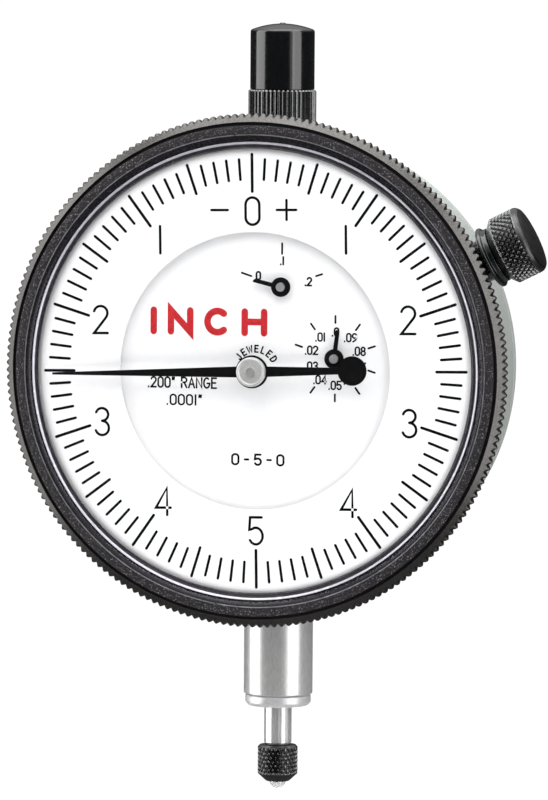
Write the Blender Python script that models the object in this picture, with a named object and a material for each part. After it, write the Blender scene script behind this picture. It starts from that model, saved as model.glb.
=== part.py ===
"""Lug-back dial indicator with a plunger, balanced dial and two turn counters.

Row frame, metres: the plunger's axis is Z, the contact points down, the dial faces -Y and +X is to
the right as seen from the front. The origin is on the plunger's axis, half way along the stem's
clamping length. Dimensions are in millimetres, and heights called "up" count from the dial's centre.
"""
import math

import bmesh
import bpy
from mathutils import Matrix, Vector
from mathutils.geometry import delaunay_2d_cdt

MM = 0.001
TURN = 2 * math.pi

# Overall layout
DIAL_UP = 39.5              # dial centre above the origin
DIAL_FRONT = -15.0          # front face of the turning dial ring
GAP = 0.05                  # air left between fixed pieces that touch
ROUND = 60                  # sides of the large turned pieces

# Case and back
CASE_R = 31.7
CASE_BORE_R = 29.9
CASE_SEAT_R = 27.5
CASE_FRONT = -13.35
CASE_SEAT = -2.75           # step the rear movement plate rests on
CASE_BACK = 6.2
COVER_BACK = 8.0
LUG_THICK = 6.35            # quarter-inch lug with a quarter-inch hole
LUG_HOLE_R = 3.175
LUG_HOLE_Y = 14.0
LUG_R = 6.5
BACK_SCREW_PITCH_R = 29.6
SCREW_SEAT = 7.15           # floor of the counterbores that sink the back screws' heads

# Bezel, crystal and dials
BEZEL_R = 35.0              # 2-3/4 inch class bezel
BEZEL_SPIGOT_R = 29.75
BEZEL_SPIGOT_BORE_R = 28.8
BEZEL_BACK = -13.5
DIAL_RING_R = 31.05
DIAL_RING_BORE_R = 18.9
DIAL_THICK = 0.5
INNER_DIAL_FRONT = -14.2
INNER_DIAL_R = 20.3

# Stem, caps and contact
STEM_R = 4.7625             # 3/8 inch stem
STEM_END = -45.6
STEM_RING_END = -47.2
STEM_TOP = -26.5
SPINDLE_R = 1.9
SPINDLE_BORE_R = 1.97
UPPER_ROD_R = 1.5
COLLAR_R = 4.7
CAP_R = 4.43
CONTACT_R = 2.77
CONTACT_TOP = -52.75        # 5.08 mm of travel and a little air below the stem's ring
CONTACT_END = -57.8

# Gear train: plunger rack, two step-up pairs, then a turns counter for each small hand
RACK_PITCH = 0.635
RACK_PINION_TEETH = 16
RACK_GEAR_TEETH = 80
MID_PINION_TEETH = 12
MID_GEAR_TEETH = 72
CENTRE_PINION_TEETH = 12
HAIR_GEAR_TEETH = 72
MOTION_PINION_TEETH = 8
COUNTER_GEAR_TEETH = 80
COUNTER_PINION_TEETH = 16
RACK_MODULE = RACK_PITCH / math.pi
FIRST_MODULE = 0.20
SECOND_MODULE = 0.185
RACK_LINE = 1.30            # rack pitch line from the plunger's axis

# Arbor centres, right and up from the dial centre
COUNTER_ONE = (11.1, 1.9)
COUNTER_TWO = (3.6, 11.5)
MID_BEARING = -126.3        # degrees anticlockwise from the right
HAIR_BEARING = 38.7

# Where the hands point at rest, anticlockwise from the right
MAIN_HAND_ANGLE = 181.7
COUNTER_ONE_ANGLE = 83.0
COUNTER_TWO_ANGLE = 167.0

# Bezel clamp on the upper right
CLAMP_ANGLE = 26.5
CLAMP_Y = -10.3

for old in list(bpy.data.objects):
    bpy.data.objects.remove(old, do_unlink=True)


# ---------------------------------------------------------------- materials

def paint(name, colour, roughness, metallic):
    mat = bpy.data.materials.new(name)
    mat.use_nodes = True
    shader = mat.node_tree.nodes["Principled BSDF"]
    shader.inputs["Base Color"].default_value = (*colour, 1.0)
    shader.inputs["Roughness"].default_value = roughness
    shader.inputs["Metallic"].default_value = metallic
    mat.diffuse_color = (*colour, 1.0)
    return mat


SATIN_CASE = ("case_satin", (0.62, 0.65, 0.62), 0.42, 0.75)
BLACK_METAL = ("black_metal", (0.02, 0.018, 0.022), 0.38, 0.6)
GLOSS_BLACK = ("gloss_black", (0.012, 0.012, 0.014), 0.16, 0.2)
STEEL = ("steel", (0.66, 0.66, 0.65), 0.26, 1.0)
SATIN_STEEL = ("satin_steel", (0.72, 0.72, 0.70), 0.45, 0.9)
BRASS = ("brass", (0.72, 0.53, 0.22), 0.32, 1.0)
WHITE_FACE = ("dial_white", (0.88, 0.89, 0.90), 0.55, 0.0)
HAND_BLACK = ("hand_black", (0.012, 0.012, 0.013), 0.35, 0.1)
CLEAR = ("crystal_clear", (0.93, 0.95, 0.97), 0.05, 0.0)
RUBY = ("jewel_red", (0.55, 0.02, 0.06), 0.08, 0.0)


# ---------------------------------------------------------------- mesh building

def place(name, mesh, look, at=(0.0, 0.0, 0.0)):
    """Make one node from a mesh builder in millimetres, standing at a point in the row frame."""
    bmesh.ops.remove_doubles(mesh, verts=mesh.verts, dist=1e-5)
    bmesh.ops.scale(mesh, vec=(MM, MM, MM), verts=mesh.verts)
    bmesh.ops.recalc_face_normals(mesh, faces=mesh.faces)
    data = bpy.data.meshes.new(name)
    mesh.to_mesh(data)
    mesh.free()
    data.materials.append(paint(name + "_look", *look[1:]))
    for face in data.polygons:
        face.use_smooth = False
    thing = bpy.data.objects.new(name, data)
    thing.location = Vector(at) * MM
    bpy.context.scene.collection.objects.link(thing)
    return thing


def dial_point(right, up, front=0.0):
    """A point given from the dial's centre, in row-frame millimetres."""
    return (right, front, DIAL_UP + up)


def spun(stations, angles):
    """A body of stacked closed rings about Y; each station is (y, radius or list of radii)."""
    mesh = bmesh.new()
    rings = []
    for y, radius in stations:
        radii = radius if isinstance(radius, list) else [radius] * len(angles)
        if max(radii) < 1e-6:
            rings.append([mesh.verts.new((0.0, y, 0.0))])
            continue
        ring = []
        for r, a in zip(radii, angles):
            ring.append(mesh.verts.new((r * math.cos(a), y, r * math.sin(a))))
        rings.append(ring)
    for low, high in zip(rings, rings[1:] + rings[:1]):
        if len(low) == 1 and len(high) == 1:
            continue
        for i in range(len(angles)):
            j = (i + 1) % len(angles)
            if len(low) == 1:
                mesh.faces.new((low[0], high[i], high[j]))
            elif len(high) == 1:
                mesh.faces.new((low[i], low[j], high[0]))
            else:
                mesh.faces.new((low[i], low[j], high[j], high[i]))
    return mesh


def circle_angles(sides):
    return [TURN * i / sides for i in range(sides)]


def turned(profile, sides):
    """A turned body about Y from a closed profile of (radius, y) points."""
    return spun([(y, r) for r, y in profile], circle_angles(sides))


def turned_up(profile, sides):
    """A turned body about Z from a closed profile of (radius, height) points."""
    mesh = turned(profile, sides)
    bmesh.ops.rotate(mesh, verts=mesh.verts, cent=(0, 0, 0), matrix=Matrix.Rotation(math.pi / 2, 3, "X"))
    return mesh


def turned_out(profile, sides, angle):
    """A turned body about the radial direction at an angle, from (radius, distance out) points."""
    mesh = turned(profile, sides)
    bmesh.ops.rotate(mesh, verts=mesh.verts, cent=(0, 0, 0), matrix=Matrix.Rotation(-math.pi / 2, 3, "Z"))
    bmesh.ops.rotate(mesh, verts=mesh.verts, cent=(0, 0, 0), matrix=Matrix.Rotation(-angle, 3, "Y"))
    return mesh


def ring_points(radius, sides, centre=(0.0, 0.0), start=0.0):
    points = []
    for i in range(sides):
        a = start + TURN * i / sides
        points.append((centre[0] + radius * math.cos(a), centre[1] + radius * math.sin(a)))
    return points


def arc_points(radius, start, end, steps, centre=(0.0, 0.0)):
    points = []
    for i in range(steps + 1):
        a = math.radians(start + (end - start) * i / steps)
        points.append((centre[0] + radius * math.cos(a), centre[1] + radius * math.sin(a)))
    return points


def inside(point, loop):
    found = False
    x, z = point
    for (x0, z0), (x1, z1) in zip(loop, loop[1:] + loop[:1]):
        if (z0 > z) != (z1 > z) and x < (x1 - x0) * (z - z0) / (z1 - z0) + x0:
            found = not found
    return found


def plate(outline, holes, front, back):
    """A flat plate in the X-Z plane with holes, between two Y planes."""
    loops = [outline] + holes
    flat = [Vector(p) for loop in loops for p in loop]
    edges = []
    start = 0
    for loop in loops:
        count = len(loop)
        edges += [(start + i, start + (i + 1) % count) for i in range(count)]
        start += count
    points, _, faces, _, _, _ = delaunay_2d_cdt(flat, edges, [], 1, 1e-6)
    mesh = bmesh.new()
    near = [mesh.verts.new((p.x, front, p.y)) for p in points]
    far = [mesh.verts.new((p.x, back, p.y)) for p in points]
    for face in faces:
        middle = sum((points[i] for i in face), Vector((0.0, 0.0))) / len(face)
        if not inside(middle, outline) or any(inside(middle, hole) for hole in holes):
            continue
        mesh.faces.new([near[i] for i in face])
        mesh.faces.new([far[i] for i in reversed(face)])
    partner = dict(zip(near, far))
    for edge in [e for e in mesh.edges if len(e.link_faces) == 1]:
        a, b = edge.verts
        if a in partner and b in partner:
            mesh.faces.new((a, b, partner[b], partner[a]))
    for vert in [v for v in mesh.verts if not v.link_faces]:
        mesh.verts.remove(vert)
    return mesh


def wire(path, radius, sides):
    """A round wire along a path of points."""
    mesh = bmesh.new()
    rings = []
    count = len(path)
    for i, point in enumerate(path):
        before = path[i - 1] if i else path[i]
        after = path[i + 1] if i < count - 1 else path[i]
        along = (Vector(after) - Vector(before)).normalized()
        side = along.cross(Vector((0.0, 0.31, 0.95))).normalized()
        other = along.cross(side)
        ring = []
        for k in range(sides):
            a = TURN * (k + 0.5) / sides
            ring.append(mesh.verts.new(Vector(point) + radius * (math.cos(a) * side + math.sin(a) * other)))
        rings.append(ring)
    for low, high in zip(rings, rings[1:]):
        for k in range(sides):
            j = (k + 1) % sides
            mesh.faces.new((low[k], low[j], high[j], high[k]))
    mesh.faces.new(list(reversed(rings[0])))
    mesh.faces.new(rings[-1])
    return mesh


def block(low, high):
    mesh = bmesh.new()
    bmesh.ops.create_cube(mesh, size=1.0)
    size = Vector(high) - Vector(low)
    bmesh.ops.scale(mesh, vec=size, verts=mesh.verts)
    bmesh.ops.translate(mesh, vec=(Vector(high) + Vector(low)) / 2, verts=mesh.verts)
    return mesh


def shape(thing, mesh, operation):
    """Join a tool body to a node, or cut it away, and keep only the result."""
    tool = place("tool", mesh, STEEL, thing.location / MM)
    step = thing.modifiers.new("shape", "BOOLEAN")
    step.operation = operation
    step.solver = "EXACT"
    step.object = tool
    view = bpy.context.evaluated_depsgraph_get()
    result = bpy.data.meshes.new_from_object(thing.evaluated_get(view))
    thing.modifiers.remove(step)
    kept = thing.data.materials[0]
    thing.data = result
    result.materials.clear()
    result.materials.append(kept)
    for face in result.polygons:
        face.material_index = 0
        face.use_smooth = False
    bpy.data.objects.remove(tool, do_unlink=True)


# ---------------------------------------------------------------- gears

TOOTH_TIP = 0.60            # in modules, outside the pitch circle
TOOTH_ROOT = 0.90           # in modules, inside it


def tooth_radii(teeth, module):
    pitch_r = teeth * module / 2
    return [pitch_r + TOOTH_TIP * module, pitch_r - TOOTH_ROOT * module] * teeth


def tooth_angles(teeth, toward, tip):
    """Tip and root angles with either a tip or a root on the direction of the meshing partner."""
    half = math.pi / teeth
    first = toward if tip else toward + half
    return [first + i * half for i in range(2 * teeth)]


def wheel(teeth, module, toward, tip, bore, front, back):
    angles = tooth_angles(teeth, toward, tip)
    radii = tooth_radii(teeth, module)
    outline = [(r * math.cos(a), r * math.sin(a)) for r, a in zip(radii, angles)]
    return plate(outline, [ring_points(bore, 12)], front, back)


def bearing(here, there):
    return math.atan2(there[1] - here[1], there[0] - here[0])


def away(distance, degrees):
    a = math.radians(degrees)
    return (distance * math.cos(a), distance * math.sin(a))


centre_at = (0.0, 0.0)
mid_at = away((CENTRE_PINION_TEETH + MID_GEAR_TEETH) * SECOND_MODULE / 2, MID_BEARING)
hair_at = away((CENTRE_PINION_TEETH + HAIR_GEAR_TEETH) * SECOND_MODULE / 2, HAIR_BEARING)
rack_pinion_r = RACK_PINION_TEETH * RACK_MODULE / 2
first_distance = (RACK_GEAR_TEETH + MID_PINION_TEETH) * FIRST_MODULE / 2
rack_right = RACK_LINE + rack_pinion_r
rack_up = mid_at[1] - math.sqrt(first_distance ** 2 - (rack_right - mid_at[0]) ** 2)
rack_at = (rack_right, rack_up)
motion_module = 2 * math.dist(centre_at, COUNTER_ONE) / (MOTION_PINION_TEETH + COUNTER_GEAR_TEETH)
counter_module = 2 * math.dist(COUNTER_ONE, COUNTER_TWO) / (COUNTER_PINION_TEETH + COUNTER_GEAR_TEETH)

# ---------------------------------------------------------------- case

case = place("case", turned([
    (CASE_R - 0.3, CASE_FRONT), (CASE_R, CASE_FRONT + 0.3), (CASE_R, CASE_BACK),
    (CASE_SEAT_R, CASE_BACK), (CASE_SEAT_R, CASE_SEAT), (CASE_BORE_R, CASE_SEAT),
    (CASE_BORE_R, -8.2), (30.2, -8.2), (30.2, -9.0), (CASE_BORE_R, -9.0), (CASE_BORE_R, CASE_FRONT),
], ROUND), SATIN_CASE, dial_point(0, 0))
shape(case, block((-7.2, -6.2, -33.4), (7.2, CASE_BACK, -26.6)), "UNION")
shape(case, block((-6.2, -5.6, 26.6), (6.2, CASE_BACK, 32.8)), "UNION")
shape(case, turned_up([(0, -35), (STEM_R + GAP, -35), (STEM_R + GAP, -20), (0, -20)], 36), "DIFFERENCE")
shape(case, turned_up([(0, 20), (3.0 + GAP, 20), (3.0 + GAP, 35), (0, 35)], 24), "DIFFERENCE")
clamp_tilt = math.radians(CLAMP_ANGLE)
clamp_hole = turned_out([(0, 28.5), (1.2, 28.5), (1.2, 33), (0, 33)], 20, clamp_tilt)
bmesh.ops.translate(clamp_hole, verts=clamp_hole.verts, vec=(0, CLAMP_Y, 0))
shape(case, clamp_hole, "DIFFERENCE")
screw_angles = [45.0, 135.0, 225.0, 315.0]
screw_spots = [arc_points(BACK_SCREW_PITCH_R, a, a, 1)[0] for a in screw_angles]
for x, z in screw_spots:
    drill = turned([(0, 2.0), (0.85, 2.0), (0.85, 7.0), (0, 7.0)], 12)
    bmesh.ops.translate(drill, verts=drill.verts, vec=(x, 0, z))
    shape(case, drill, "DIFFERENCE")

cover = place("back_cover", plate(
    ring_points(CASE_R, ROUND), [ring_points(1.0, 12, spot) for spot in screw_spots],
    CASE_BACK + GAP, COVER_BACK), SATIN_CASE, dial_point(0, 0))
lug_outline = [(LUG_HOLE_Y - 7.2, -8.5), (LUG_HOLE_Y - 5.4, -8.0)]
lug_outline += arc_points(LUG_R, -78, 78, 16, (LUG_HOLE_Y, 0.0))
lug_outline += [(LUG_HOLE_Y - 5.4, 8.0), (LUG_HOLE_Y - 7.2, 8.5)]
lug = plate(lug_outline, [ring_points(LUG_HOLE_R, 32, (LUG_HOLE_Y, 0.0))], -LUG_THICK / 2, LUG_THICK / 2)
bmesh.ops.rotate(lug, verts=lug.verts, cent=(0, 0, 0), matrix=Matrix.Rotation(math.pi / 2, 3, "Z"))
shape(cover, lug, "UNION")
for x, z in screw_spots:
    sink = turned([(0, SCREW_SEAT), (1.75, SCREW_SEAT), (1.75, COVER_BACK + 1), (0, COVER_BACK + 1)], 16)
    bmesh.ops.translate(sink, verts=sink.verts, vec=(x, 0, z))
    shape(cover, sink, "DIFFERENCE")

for number, (x, z) in enumerate(screw_spots, 1):
    place(f"back_screw_{number}", turned([
        (0, 2.3), (0.8, 2.3), (0.8, SCREW_SEAT + GAP), (1.6, SCREW_SEAT + GAP), (1.6, COVER_BACK - GAP),
        (0, COVER_BACK - GAP)], 12), STEEL, dial_point(x, z))

# ---------------------------------------------------------------- stem and caps

place("stem", turned_up([
    (SPINDLE_BORE_R, STEM_TOP), (STEM_R, STEM_TOP), (STEM_R, STEM_END + 0.2), (STEM_R - 0.2, STEM_END),
    (3.5, STEM_END), (3.5, -30.0), (SPINDLE_BORE_R, -30.0),
], 36), STEEL, dial_point(0, 0))
place("lower_bushing", turned_up([
    (SPINDLE_BORE_R, -40.0), (3.42, -40.0), (3.42, STEM_END - GAP), (4.3, STEM_END - GAP),
    (4.54, STEM_END - 0.3), (4.54, STEM_RING_END + 0.45), (4.05, STEM_RING_END), (SPINDLE_BORE_R, STEM_RING_END),
], 24), SATIN_STEEL, dial_point(0, 0))
place("upper_bushing", turned_up([
    (UPPER_ROD_R + 0.07, 26.0), (3.0, 26.0), (3.0, 36.3), (UPPER_ROD_R + 0.07, 36.3),
], 24), STEEL, dial_point(0, 0))
place("knurled_collar", turned_up([
    (3.06, 32.9), (COLLAR_R - 0.2, 32.9), (COLLAR_R, 33.1), (COLLAR_R, 37.75), (COLLAR_R - 0.2, 37.95),
    (3.95, 37.95), (3.95, 36.45), (3.06, 36.45),
], 28), BLACK_METAL, dial_point(0, 0))
place("dust_cap", turned_up([
    (3.2, 36.5), (3.88, 36.5), (3.88, 38.0), (CAP_R, 38.0), (CAP_R, 46.05), (4.12, 46.5), (2.8, 46.95),
    (0, 47.2), (0, 44.9), (3.2, 44.9),
], 28), GLOSS_BLACK, dial_point(0, 0))

# ---------------------------------------------------------------- movement plates

flat_up = 25.5


def trimmed(radius, sides):
    """A round outline with its top and bottom cut flat."""
    half = math.degrees(math.asin(flat_up / radius))
    return arc_points(radius, -half, half, sides) + arc_points(radius, 180 - half, 180 + half, sides)


guide_slot = arc_points(0.65, 0, 180, 8, (0.0, 18.2)) + arc_points(0.65, 180, 360, 8, (0.0, 11.9))
pivots = [centre_at, mid_at, rack_at]
rear_holes = [ring_points(0.95, 12, spot) for spot in pivots] + [guide_slot, ring_points(0.45, 12, hair_at)]
place("rear_plate", plate(trimmed(29.6, 24), rear_holes, -3.8, -2.8), BRASS, dial_point(0, 0))
pillar_spots = [arc_points(24.3, a, a, 1)[0] for a in (40.0, 165.0, 320.0)]
front_holes = [ring_points(0.66, 12, centre_at)] + [ring_points(0.45, 12, s) for s in
                                                    (mid_at, rack_at, hair_at, COUNTER_ONE, COUNTER_TWO)]
front_holes += [ring_points(0.8, 12, spot) for spot in pillar_spots]
place("front_plate", plate(trimmed(26.6, 24), front_holes, -11.6, -10.6), BRASS, dial_point(0, 0))
for number, (x, z) in enumerate(pillar_spots, 1):
    place(f"plate_pillar_{number}", turned([
        (0.78, -10.55), (1.6, -10.55), (1.6, -3.85), (0.78, -3.85)], 12), BRASS, dial_point(x, z))
    place(f"plate_screw_{number}", turned([
        (0, -12.15), (1.6, -12.15), (1.6, -11.65), (0.7, -11.65), (0.7, -8.0), (0, -8.0)],
        12), STEEL, dial_point(x, z))
for name, spot in zip(("centre", "middle", "rack"), pivots):
    place(f"jewel_{name}", turned([(0.45, -3.8), (0.9, -3.8), (0.9, -2.8), (0.45, -2.8)], 12),
          RUBY, dial_point(*spot))
for number, spot in enumerate([(-14.0, 6.0), (13.0, -13.0)], 1):
    place(f"dial_post_{number}", turned([
        (0, -13.65), (0.9, -13.65), (0.9, -11.65), (0, -11.65)], 12), BRASS, dial_point(*spot))

# ---------------------------------------------------------------- dials

place("inner_dial", plate(ring_points(INNER_DIAL_R, ROUND), [
    ring_points(0.9, 16, centre_at), ring_points(0.8, 16, COUNTER_ONE), ring_points(0.8, 16, COUNTER_TWO)],
    INNER_DIAL_FRONT, INNER_DIAL_FRONT + DIAL_THICK), WHITE_FACE, dial_point(0, 0))
place("dial_ring", turned([
    (DIAL_RING_BORE_R, DIAL_FRONT), (DIAL_RING_R, DIAL_FRONT), (DIAL_RING_R, DIAL_FRONT + DIAL_THICK),
    (DIAL_RING_BORE_R, DIAL_FRONT + DIAL_THICK)], ROUND), WHITE_FACE, dial_point(0, 0))

# ---------------------------------------------------------------- bezel and crystal

place("bezel", turned([
    (BEZEL_SPIGOT_BORE_R, -8.3), (BEZEL_SPIGOT_BORE_R, -14.45), (31.2, -14.45), (31.2, -15.5),
    (32.1, -16.0), (33.4, -16.0), (33.7, -15.6), (34.7, -15.6), (BEZEL_R, -15.3),
    (BEZEL_R, -13.8), (34.7, BEZEL_BACK), (BEZEL_SPIGOT_R, BEZEL_BACK), (BEZEL_SPIGOT_R, -8.9), (29.2, -8.9),
    (29.2, -8.3),
], ROUND), BLACK_METAL, dial_point(0, 0))
place("crystal", turned([
    (0, -19.0), (16.0, -18.85), (28.4, -18.2), (29.6, -17.2), (30.4, -15.9),
    (31.1, -15.75), (31.1, -15.1), (30.0, -15.1), (28.6, -17.2), (16.0, -17.95), (0, -18.1),
], ROUND), CLEAR, dial_point(0, 0))
snap = [(29.68 * math.cos(a), -8.6, 29.68 * math.sin(a)) for a in
        [math.radians(98 + 344 * i / 40) for i in range(41)]]
place("retaining_ring", wire(snap, 0.22, 4), STEEL, dial_point(0, 0))

# ---------------------------------------------------------------- plunger

spindle = place("spindle", turned_up([
    (0, CONTACT_TOP + GAP), (1.6, CONTACT_TOP + GAP), (SPINDLE_R, CONTACT_TOP + 0.35), (SPINDLE_R, -9.4),
    (UPPER_ROD_R, -9.0),
    (UPPER_ROD_R, 33.6), (0, 33.6),
], 24), STEEL, dial_point(0, 0))
rack = [(3.0, rack_up - 6.3 - 1.0), (RACK_LINE - TOOTH_ROOT * RACK_MODULE, rack_up - 6.3 - 1.0)]
teeth_below = 10
teeth_above = 2
for step in range(-2 * teeth_below, 2 * teeth_above + 1):
    reach = TOOTH_TIP if step % 2 == 0 else -TOOTH_ROOT
    rack.append((RACK_LINE + reach * RACK_MODULE, rack_up + (step + 1) * RACK_PITCH / 2))
rack += [(RACK_LINE - TOOTH_ROOT * RACK_MODULE, rack_up + 2.2), (3.0, rack_up + 2.2)]
shape(spindle, plate(rack, [], -3.0, 3.0), "DIFFERENCE")
shape(spindle, turned_up([(0, -54), (1.15, -54), (1.15, -49.7), (0, -49.7)], 20), "DIFFERENCE")
guide_drill = turned([(0, -3.0), (0.6, -3.0), (0.6, -0.9), (0, -0.9)], 12)
bmesh.ops.translate(guide_drill, verts=guide_drill.verts, vec=(0, 0, 12.0))
shape(spindle, guide_drill, "DIFFERENCE")
arm_drill = turned_out([(0, 0.6), (0.6, 0.6), (0.6, 3.0), (0, 3.0)], 12, math.pi)
bmesh.ops.translate(arm_drill, verts=arm_drill.verts, vec=(0, 0, 3.0))
shape(spindle, arm_drill, "DIFFERENCE")

place("guide_pin", turned([(0, -3.7), (0.55, -3.7), (0.55, -1.0), (0, -1.0)], 12), STEEL, dial_point(0, 12.0))
place("spring_arm", turned_out([(0, 0.7), (0.55, 0.7), (0.55, 6.6), (0, 6.6)], 12, math.pi),
      STEEL, dial_point(0, 3.0))
place("contact_point", turned_up([
    (0, -49.8), (1.1, -49.8), (1.1, CONTACT_TOP), (CONTACT_R - 0.3, CONTACT_TOP),
    (CONTACT_R, CONTACT_TOP - 0.35), (CONTACT_R, CONTACT_END + 1.1), (1.6, CONTACT_END), (1.28, CONTACT_END),
    (1.28, CONTACT_END + 1.5), (0, CONTACT_END + 1.5),
], 24), BLACK_METAL, dial_point(0, 0))
ball = [(1.2 * math.sin(math.pi * i / 8), -1.2 * math.cos(math.pi * i / 8)) for i in range(9)]
ball[0] = (0, ball[0][1])
ball[-1] = (0, ball[-1][1])
place("contact_ball", turned_up(ball, 16), STEEL, dial_point(0, CONTACT_END + 0.2))

# ---------------------------------------------------------------- return spring

spring_x = -5.6
spring_y = 0.0
place("spring_post", turned([(0, -2.75), (0.55, -2.75), (0.55, 1.6), (0, 1.6)], 12),
      STEEL, dial_point(spring_x, -19.0))
coil = [(0.0, 0.0, 0.75)]
turns = 12
steps = 7
coil_low = 2.2
coil_high = 19.6
for i in range(turns * steps + 1):
    a = TURN * i / steps
    up = coil_low + (coil_high - coil_low) * i / (turns * steps)
    coil.append((1.2 * math.cos(a), 1.2 * math.sin(a), up))
coil.append((0.0, 0.0, 21.25))
place("return_spring", wire(coil, 0.16, 4), STEEL, dial_point(spring_x, -19.0, spring_y))

# ---------------------------------------------------------------- gear train

to_rack = tooth_angles(RACK_PINION_TEETH, math.pi, True)
place("rack_arbor", spun([
    (2.6, 0.0), (2.6, 0.6), (1.5, 0.6), (1.5, tooth_radii(RACK_PINION_TEETH, RACK_MODULE)),
    (-1.5, tooth_radii(RACK_PINION_TEETH, RACK_MODULE)), (-1.5, 0.4), (-3.9, 0.4), (-3.9, 0.7), (-9.8, 0.7),
    (-9.8, 0.4), (-11.4, 0.4), (-11.4, 0.0)], to_rack), STEEL, dial_point(*rack_at))
place("rack_gear", wheel(RACK_GEAR_TEETH, FIRST_MODULE, bearing(rack_at, mid_at), True, 0.74, -5.2, -4.6),
      BRASS, dial_point(*rack_at))
mid_radii = tooth_radii(MID_PINION_TEETH, FIRST_MODULE)
place("middle_arbor", spun([
    (-2.9, 0.0), (-2.9, 0.4), (-4.0, 0.4), (-4.0, mid_radii), (-5.6, mid_radii), (-5.6, 0.7), (-9.8, 0.7),
    (-9.8, 0.4), (-11.4, 0.4), (-11.4, 0.0)],
    tooth_angles(MID_PINION_TEETH, bearing(mid_at, rack_at), False)), STEEL, dial_point(*mid_at))
place("middle_gear", wheel(MID_GEAR_TEETH, SECOND_MODULE, bearing(mid_at, centre_at), True, 0.74, -7.0, -6.4),
      BRASS, dial_point(*mid_at))
centre_radii = tooth_radii(CENTRE_PINION_TEETH, SECOND_MODULE)
place("centre_arbor", spun([
    (-2.9, 0.0), (-2.9, 0.4), (-4.0, 0.4), (-4.0, 0.6), (-6.1, 0.6), (-6.1, centre_radii), (-7.3, centre_radii),
    (-7.3, 0.6), (-17.45, 0.6), (-17.45, 0.0)],
    tooth_angles(CENTRE_PINION_TEETH, bearing(centre_at, mid_at), False)), STEEL, dial_point(*centre_at))
motion_radii = tooth_radii(MOTION_PINION_TEETH, motion_module)
place("motion_pinion", spun([
    (-11.75, 0.64), (-11.75, motion_radii), (-12.6, motion_radii), (-12.6, 0.64)],
    tooth_angles(MOTION_PINION_TEETH, bearing(centre_at, COUNTER_ONE), False)), STEEL, dial_point(*centre_at))
place("hairspring_arbor", turned([
    (0, -2.9), (0.4, -2.9), (0.4, -4.2), (0.6, -4.2), (0.6, -10.2), (0.4, -10.2), (0.4, -11.4), (0, -11.4)],
    12), STEEL, dial_point(*hair_at))
place("hairspring_gear", wheel(
    HAIR_GEAR_TEETH, SECOND_MODULE, bearing(hair_at, centre_at), False, 0.64, -7.0, -6.6),
    BRASS, dial_point(*hair_at))
spiral = []
for i in range(43):
    a = TURN * i / 12
    r = 0.9 + 3.4 * i / 42
    spiral.append((r * math.cos(a), -8.6, r * math.sin(a)))
place("hairspring", wire(spiral, 0.1, 4), STEEL, dial_point(*hair_at))
stud_angle = TURN * 42 / 12
stud_at = (hair_at[0] + 4.95 * math.cos(stud_angle), hair_at[1] + 4.95 * math.sin(stud_angle))
place("hairspring_stud", turned([(0, -10.55), (0.45, -10.55), (0.45, -8.2), (0, -8.2)], 12),
      BRASS, dial_point(*stud_at))

one_radii = tooth_radii(COUNTER_PINION_TEETH, counter_module)
place("counter_one_arbor", spun([
    (-10.8, 0.0), (-10.8, 0.4), (-11.75, 0.4), (-11.75, 0.6), (-12.9, 0.6), (-12.9, one_radii),
    (-13.4, one_radii), (-13.4, 0.6), (-15.3, 0.6), (-15.3, 0.0)],
    tooth_angles(COUNTER_PINION_TEETH, bearing(COUNTER_ONE, COUNTER_TWO), False)),
    STEEL, dial_point(*COUNTER_ONE))
place("counter_one_gear", wheel(
    COUNTER_GEAR_TEETH, motion_module, bearing(COUNTER_ONE, centre_at), True, 0.64, -12.5, -12.1),
    BRASS, dial_point(*COUNTER_ONE))
place("counter_two_arbor", turned([
    (0, -10.8), (0.4, -10.8), (0.4, -11.75), (0.6, -11.75), (0.6, -15.3), (0, -15.3)],
    12), STEEL, dial_point(*COUNTER_TWO))
place("counter_two_gear", wheel(
    COUNTER_GEAR_TEETH, counter_module, bearing(COUNTER_TWO, COUNTER_ONE), True, 0.64, -13.35, -12.95),
    BRASS, dial_point(*COUNTER_TWO))


# ---------------------------------------------------------------- hands

def hand(boss_r, bore_r, half_root, half_tip, reach, angle, tail=None):
    """A flat hand pointing along +X before it is turned to its rest angle."""
    start = math.degrees(math.asin(half_root / boss_r))
    outline = [(reach, -half_tip), (reach, half_tip)]
    if tail is None:
        outline += arc_points(boss_r, start, 360 - start, 20)
    else:
        half_neck, weight_at, weight_r = tail
        near = math.degrees(math.asin(half_neck[0] / boss_r))
        far = math.degrees(math.asin(half_neck[1] / weight_r))
        outline += arc_points(boss_r, start, 180 - near, 8)
        outline += arc_points(weight_r, far, 360 - far, 18, (-weight_at, 0.0))
        outline += arc_points(boss_r, 180 + near, 360 - start, 8)
    turn = math.radians(angle)
    turned_outline = []
    for x, z in outline:
        turned_outline.append((x * math.cos(turn) - z * math.sin(turn),
                               x * math.sin(turn) + z * math.cos(turn)))
    return turned_outline, [ring_points(bore_r, 16)]


place("main_hand", plate(*hand(2.25, 1.15, 0.74, 0.09, 28.1, MAIN_HAND_ANGLE, ((0.7, 0.45), 13.95, 2.0)),
      -16.4, -16.15), HAND_BLACK, dial_point(*centre_at))
place("hand_hub", turned([
    (0.64, -15.5), (1.08, -15.5), (1.08, -16.45), (2.0, -16.45), (2.0, -17.0), (1.75, -17.2), (0.64, -17.3)],
    20), STEEL, dial_point(*centre_at))
place("counter_one_hand", plate(*hand(1.33, 0.64, 0.28, 0.2, 3.95, COUNTER_ONE_ANGLE), -15.0, -14.75),
      HAND_BLACK, dial_point(*COUNTER_ONE))
place("counter_two_hand", plate(*hand(1.33, 0.64, 0.28, 0.2, 3.95, COUNTER_TWO_ANGLE), -15.0, -14.75),
      HAND_BLACK, dial_point(*COUNTER_TWO))

# ---------------------------------------------------------------- bezel clamp

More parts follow.
